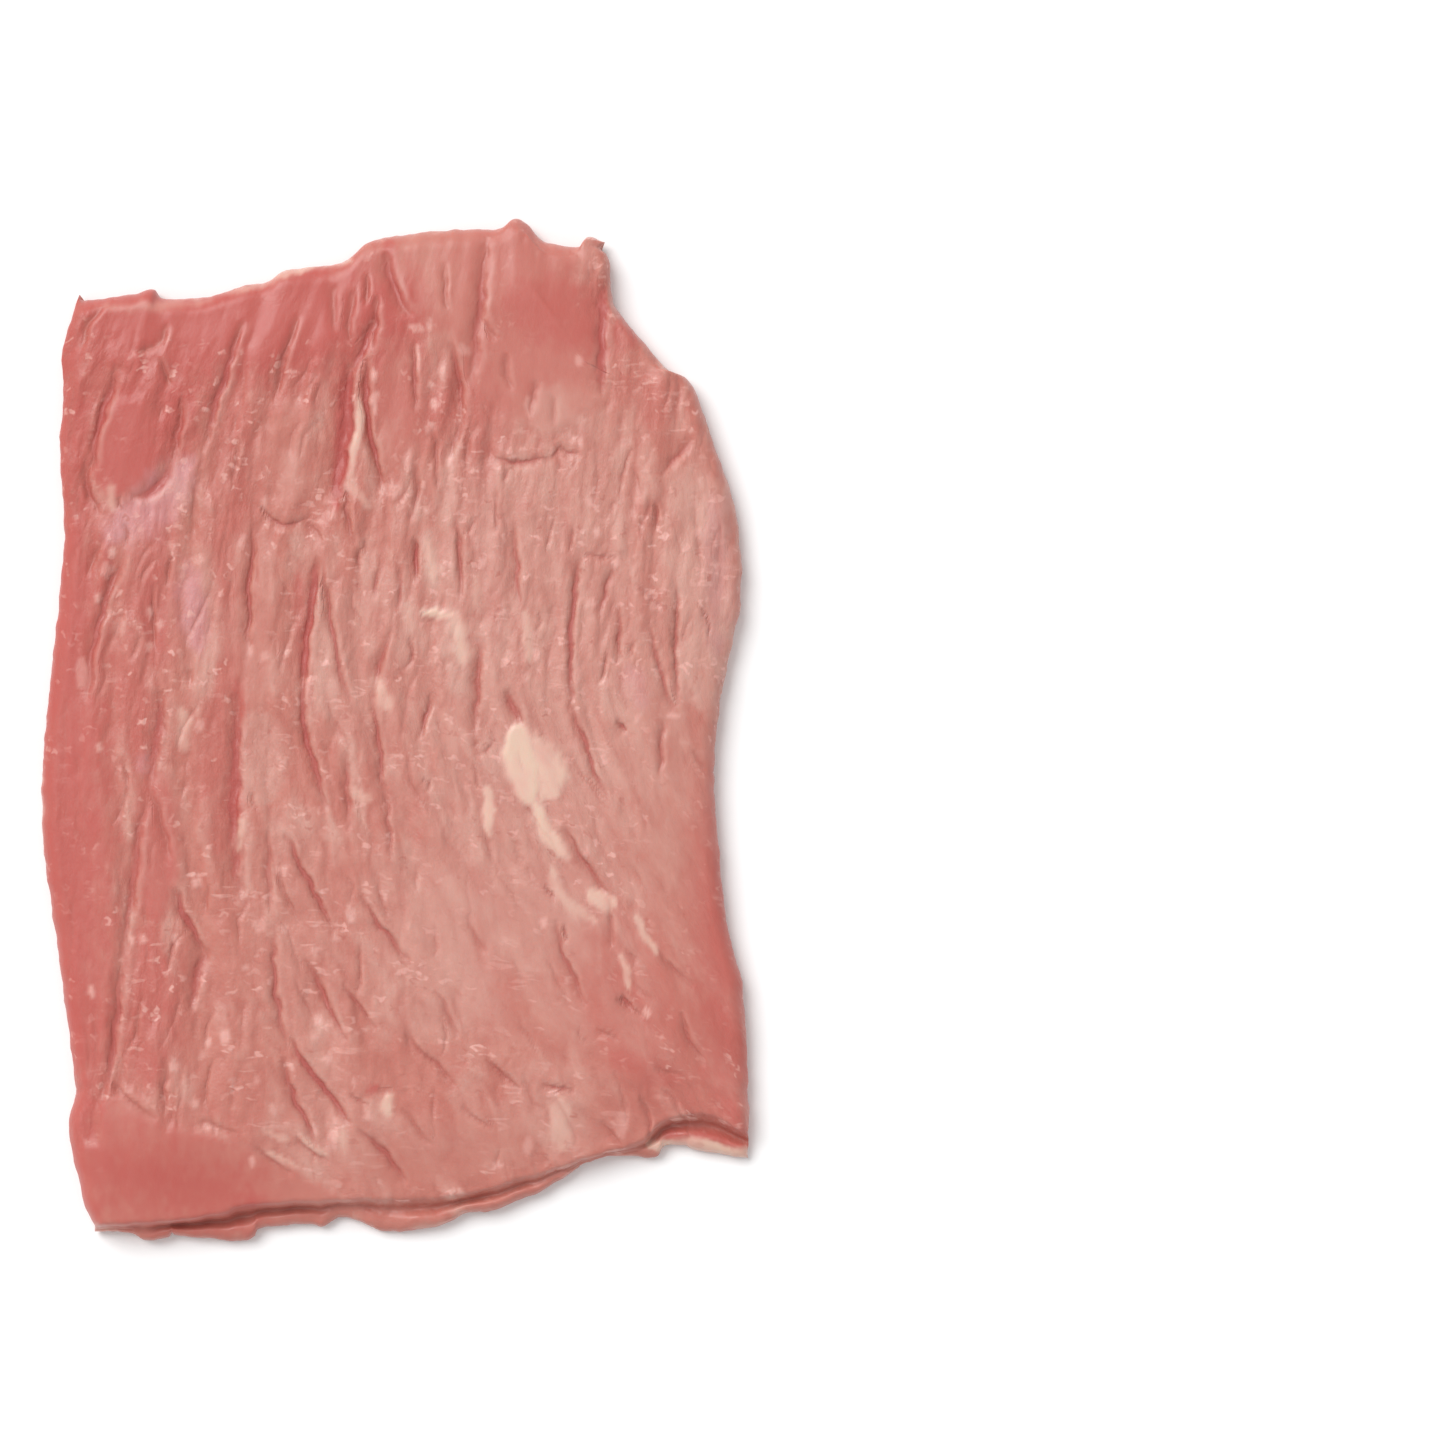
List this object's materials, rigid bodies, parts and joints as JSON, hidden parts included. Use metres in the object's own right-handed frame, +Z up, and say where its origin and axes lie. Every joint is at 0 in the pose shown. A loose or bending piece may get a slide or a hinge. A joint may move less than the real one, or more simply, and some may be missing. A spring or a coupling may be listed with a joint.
{
  "type": "beef frying steak",
  "caption": "Thin raw slice of beef with upright grain, deep seams between the muscle bundles and a split front edge, lying flat on its cut face.",
  "frame": {"origin": "centre of the bounding box, on the face that the slice lies on", "axes": "+Z up out of the lying face, +Y along the grain to the far end as seen in the picture, +X to the right"},
  "size_m": [0.1326, 0.191, 0.0097],
  "materials": {
    "raw_beef": "moist raw beef: salmon pink, redder in the seams and at the left edge, with pale films and cream flecks of fat"
  },
  "bodies": {
    "root": {"steak": "raw_beef"}
  },
  "joints": []
}
